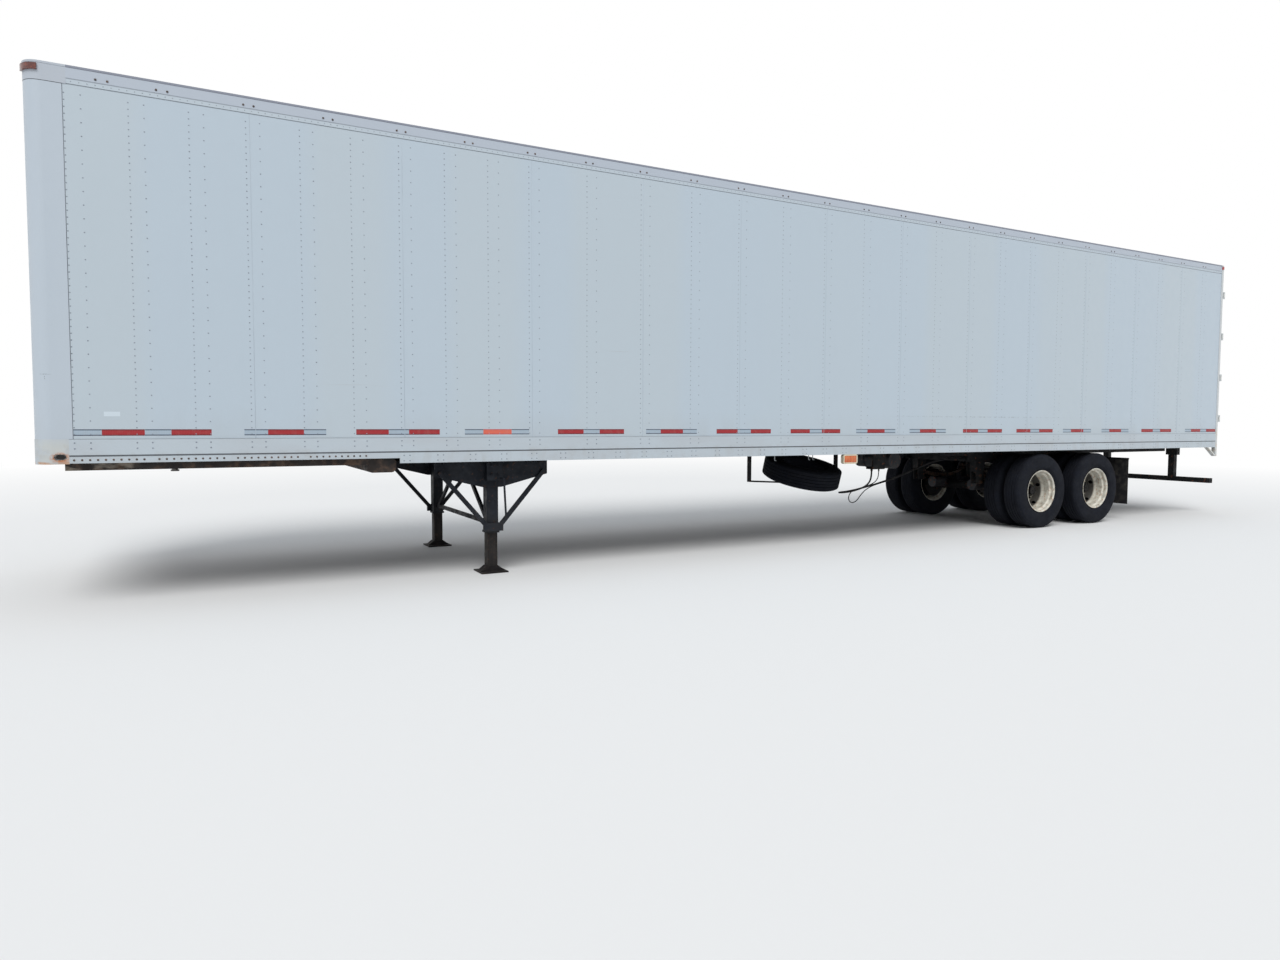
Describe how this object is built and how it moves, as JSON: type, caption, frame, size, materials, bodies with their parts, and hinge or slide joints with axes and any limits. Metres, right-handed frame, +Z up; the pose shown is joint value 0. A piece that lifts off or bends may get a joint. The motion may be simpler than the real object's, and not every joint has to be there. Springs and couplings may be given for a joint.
{
  "type": "semi trailer",
  "caption": "Long white box semi trailer with riveted side sheets, round front corners, rear swing doors, landing legs and a sliding tandem bogie on twin wheels, standing parked.",
  "frame": {"origin": "on the ground, under the middle of the trailer's overall box", "axes": "+X towards the rear doors, -X towards the nose, -Y the road side, +Y the curb side, +Z up"},
  "size_m": [16.254, 2.615, 4.115],
  "materials": {
    "amber_lens": "moulded amber lens",
    "bare_steel": "bare steel, dull",
    "black_rubber": "matt rubber sheet, scuffed",
    "black_steel": "black chassis paint with rust and dust",
    "galvanised_steel": "zinc plated",
    "grey_tank": "grey paint, dusty",
    "hardwood_floor": "laminated oak boards, worn",
    "hose_rubber": "black rubber hose",
    "hub_grease": "dark greasy cast iron",
    "leg_paint": "dark grey paint, chalky, rust at the edges",
    "rear_frame_paint": "cream-white painted steel, chipped edges",
    "red_lens": "moulded red lens",
    "roof_aluminium": "mill finish sheet, weathered",
    "rusty_steel": "greased steel turned brown",
    "tyre_rubber": "ribbed highway tread, dusty",
    "wheel_paint": "cream-white wheel paint, stained",
    "white_door_skin": "smooth painted door skin",
    "white_extrusion": "painted aluminium extrusion, satin",
    "white_side_sheet": "pre-painted sheet, satin, riveted, lightly marked"
  },
  "bodies": {
    "trailer": {"air_tank": "grey_tank", "amber_lamps": "amber_lens", "axles": "black_steel", "bogie_frame": "black_steel", "bottom_rails": "white_extrusion", "brake_chambers": "black_steel", "corner_castings": "white_extrusion", "corner_posts": "white_extrusion", "coupler": "black_steel", "crossmembers": "black_steel", "dock_bumpers": "black_rubber", "equalizers": "black_steel", "floor": "hardwood_floor", "front_sill": "white_extrusion", "front_wall": "white_side_sheet", "hose_fittings": "bare_steel", "hose_service": "hose_rubber", "hose_supply": "hose_rubber", "kingpin": "bare_steel", "leaf_springs": "black_steel", "leg_braces": "leg_paint", "leg_drive": "leg_paint", "leg_shoes": "rusty_steel", "leg_slides": "rusty_steel", "leg_tie_frame": "leg_paint", "leg_tubes": "leg_paint", "mud_flap_bars": "black_steel", "mud_flaps": "black_rubber", "nose_connectors": "bare_steel", "radius_rods": "black_steel", "rear_guard": "black_steel", "rear_header_sill": "rear_frame_paint", "rear_posts": "rear_frame_paint", "red_lamps": "red_lens", "roof_bows": "roof_aluminium", "roof_sheet": "roof_aluminium", "side_wall_curb": "white_side_sheet", "side_wall_road": "white_side_sheet", "slide_rails": "black_steel", "spare_carrier": "black_steel", "spare_tyre": "tyre_rubber", "spring_hangers": "black_steel", "top_rails": "white_extrusion"},
    "wheel_road_1": {"tyres_road_1": "tyre_rubber", "rims_road_1": "wheel_paint", "hub_road_1": "hub_grease"},
    "wheel_road_2": {"tyres_road_2": "tyre_rubber", "rims_road_2": "wheel_paint", "hub_road_2": "hub_grease"},
    "rear_door_road": {"door_road": "white_door_skin", "door_gear_road": "galvanised_steel"},
    "wheel_curb_1": {"tyres_curb_1": "tyre_rubber", "rims_curb_1": "wheel_paint", "hub_curb_1": "hub_grease"},
    "wheel_curb_2": {"tyres_curb_2": "tyre_rubber", "rims_curb_2": "wheel_paint", "hub_curb_2": "hub_grease"},
    "rear_door_curb": {"door_curb": "white_door_skin", "door_gear_curb": "galvanised_steel"}
  },
  "joints": [
    {"name": "wheel_road_1_spin", "type": "hinge", "parent": "trailer", "child": "wheel_road_1", "pos_m": [3.575, -0.984, 0.525], "axis": [0, 1, 0], "continuous": true},
    {"name": "wheel_road_2_spin", "type": "hinge", "parent": "trailer", "child": "wheel_road_2", "pos_m": [4.82, -0.984, 0.525], "axis": [0, 1, 0], "continuous": true},
    {"name": "rear_door_road_swing", "type": "hinge", "parent": "trailer", "child": "rear_door_road", "pos_m": [8.115, -1.2815, 2.606], "axis": [0, 0, -1], "range_deg": [0, 265]},
    {"name": "wheel_curb_1_spin", "type": "hinge", "parent": "trailer", "child": "wheel_curb_1", "pos_m": [3.575, 0.984, 0.525], "axis": [0, 1, 0], "continuous": true},
    {"name": "wheel_curb_2_spin", "type": "hinge", "parent": "trailer", "child": "wheel_curb_2", "pos_m": [4.82, 0.984, 0.525], "axis": [0, 1, 0], "continuous": true},
    {"name": "rear_door_curb_swing", "type": "hinge", "parent": "trailer", "child": "rear_door_curb", "pos_m": [8.115, 1.2815, 2.606], "axis": [0, 0, 1], "range_deg": [0, 265]}
  ]
}
